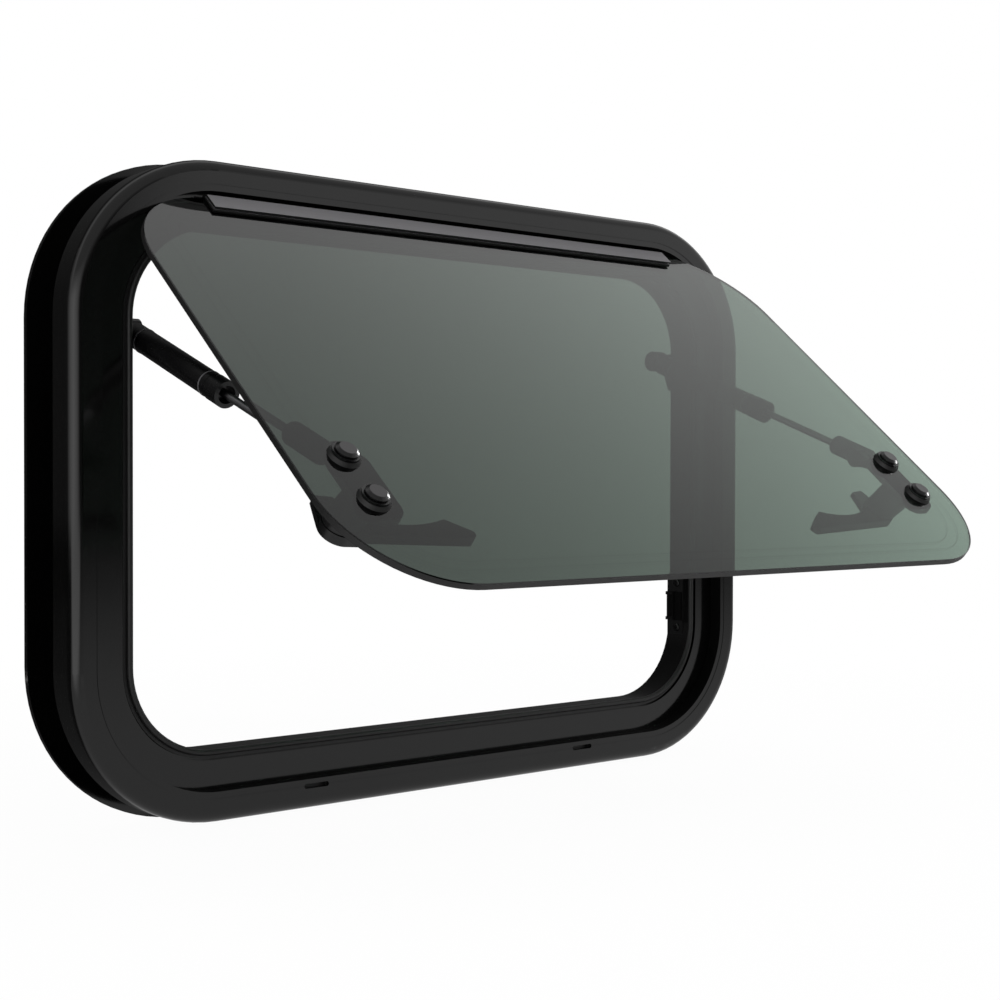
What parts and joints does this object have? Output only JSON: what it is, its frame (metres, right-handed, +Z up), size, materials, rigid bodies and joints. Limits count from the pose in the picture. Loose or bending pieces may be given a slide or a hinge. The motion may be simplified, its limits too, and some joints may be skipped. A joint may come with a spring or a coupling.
{
  "type": "top-hung caravan window",
  "caption": "Top-hung caravan window propped open: tinted pane, rounded black aluminium frame, two telescopic stays and two swing-lever latches.",
  "frame": {"origin": "middle of the window, on the back of the flange where it meets the outer wall skin", "axes": "X along the wall to the right seen from outside, Y into the caravan, Z up"},
  "size_m": [0.6436, 0.3498, 0.4576],
  "materials": {
    "black_aluminium": "satin",
    "grey_aluminium": "satin",
    "rubber": "matte",
    "tinted_glass": "gloss",
    "black_plastic": "satin",
    "black_metal": "satin",
    "cap_metal": "satin",
    "rod_steel": "brushed"
  },
  "bodies": {
    "frame": {"outer_frame": "black_aluminium", "frame_seal": "rubber", "clamp_ring": "black_aluminium", "hinge_rail": "grey_aluminium", "left_striker": "black_plastic", "right_striker": "black_plastic", "left_stay_bracket": "black_metal", "right_stay_bracket": "black_metal"},
    "sash": {"glass_pane": "tinted_glass", "hinge_profile": "grey_aluminium", "left_upper_bolt": "cap_metal", "left_lower_bolt": "cap_metal", "left_upper_washer": "rubber", "left_lower_washer": "rubber", "left_latch_pad": "rubber", "left_latch_bracket": "black_plastic", "left_lever_pin": "black_metal", "right_upper_bolt": "cap_metal", "right_lower_bolt": "cap_metal", "right_upper_washer": "rubber", "right_lower_washer": "rubber", "right_latch_pad": "rubber", "right_latch_bracket": "black_plastic", "right_lever_pin": "black_metal"},
    "left_lever": {"left_lever": "black_plastic"},
    "left_stay_barrel": {"left_stay_barrel": "black_plastic", "left_stay_gland": "black_plastic", "left_stay_eye": "black_plastic"},
    "left_stay_rod": {"left_stay_rod": "rod_steel", "left_stay_socket": "black_plastic"},
    "right_lever": {"right_lever": "black_plastic"},
    "right_stay_barrel": {"right_stay_barrel": "black_plastic", "right_stay_gland": "black_plastic", "right_stay_eye": "black_plastic"},
    "right_stay_rod": {"right_stay_rod": "rod_steel", "right_stay_socket": "black_plastic"}
  },
  "joints": [
    {"name": "sash_hinge", "type": "hinge", "parent": "frame", "child": "sash", "pos_m": [0, -0.0104, 0.1938], "axis": [-1, 0, 0], "range_deg": [-49.8, 0]},
    {"name": "left_lever_turn", "type": "hinge", "parent": "sash", "child": "left_lever", "pos_m": [-0.251, -0.22672, -0.01624], "axis": [0, 0.6455, -0.7638], "range_deg": [-90, 0]},
    {"name": "left_stay_swing", "type": "hinge", "parent": "frame", "child": "left_stay_barrel", "pos_m": [-0.2555, 0.014, 0.1093], "axis": [-1, 0, 0], "range_deg": [-61.69, 0.2]},
    {"name": "left_stay_slide", "type": "slide", "parent": "left_stay_barrel", "child": "left_stay_rod", "axis": [0, -0.9338, -0.3578], "range_m": [-0.06083, 0.0003]},
    {"name": "right_lever_turn", "type": "hinge", "parent": "sash", "child": "right_lever", "pos_m": [0.251, -0.22672, -0.01624], "axis": [0, -0.6455, 0.7638], "range_deg": [-90, 0]},
    {"name": "right_stay_swing", "type": "hinge", "parent": "frame", "child": "right_stay_barrel", "pos_m": [0.2555, 0.014, 0.1093], "axis": [-1, 0, 0], "range_deg": [-61.69, 0.2]},
    {"name": "right_stay_slide", "type": "slide", "parent": "right_stay_barrel", "child": "right_stay_rod", "axis": [0, -0.9338, -0.3578], "range_m": [-0.06083, 0.0003]}
  ],
  "couplings": [
    {"joint": "left_stay_swing", "follows": "sash_hinge", "ratio": 1.2348},
    {"joint": "left_stay_slide", "follows": "sash_hinge", "m_per_rad": 0.069641},
    {"joint": "right_stay_swing", "follows": "sash_hinge", "ratio": 1.2348},
    {"joint": "right_stay_slide", "follows": "sash_hinge", "m_per_rad": 0.069641}
  ]
}
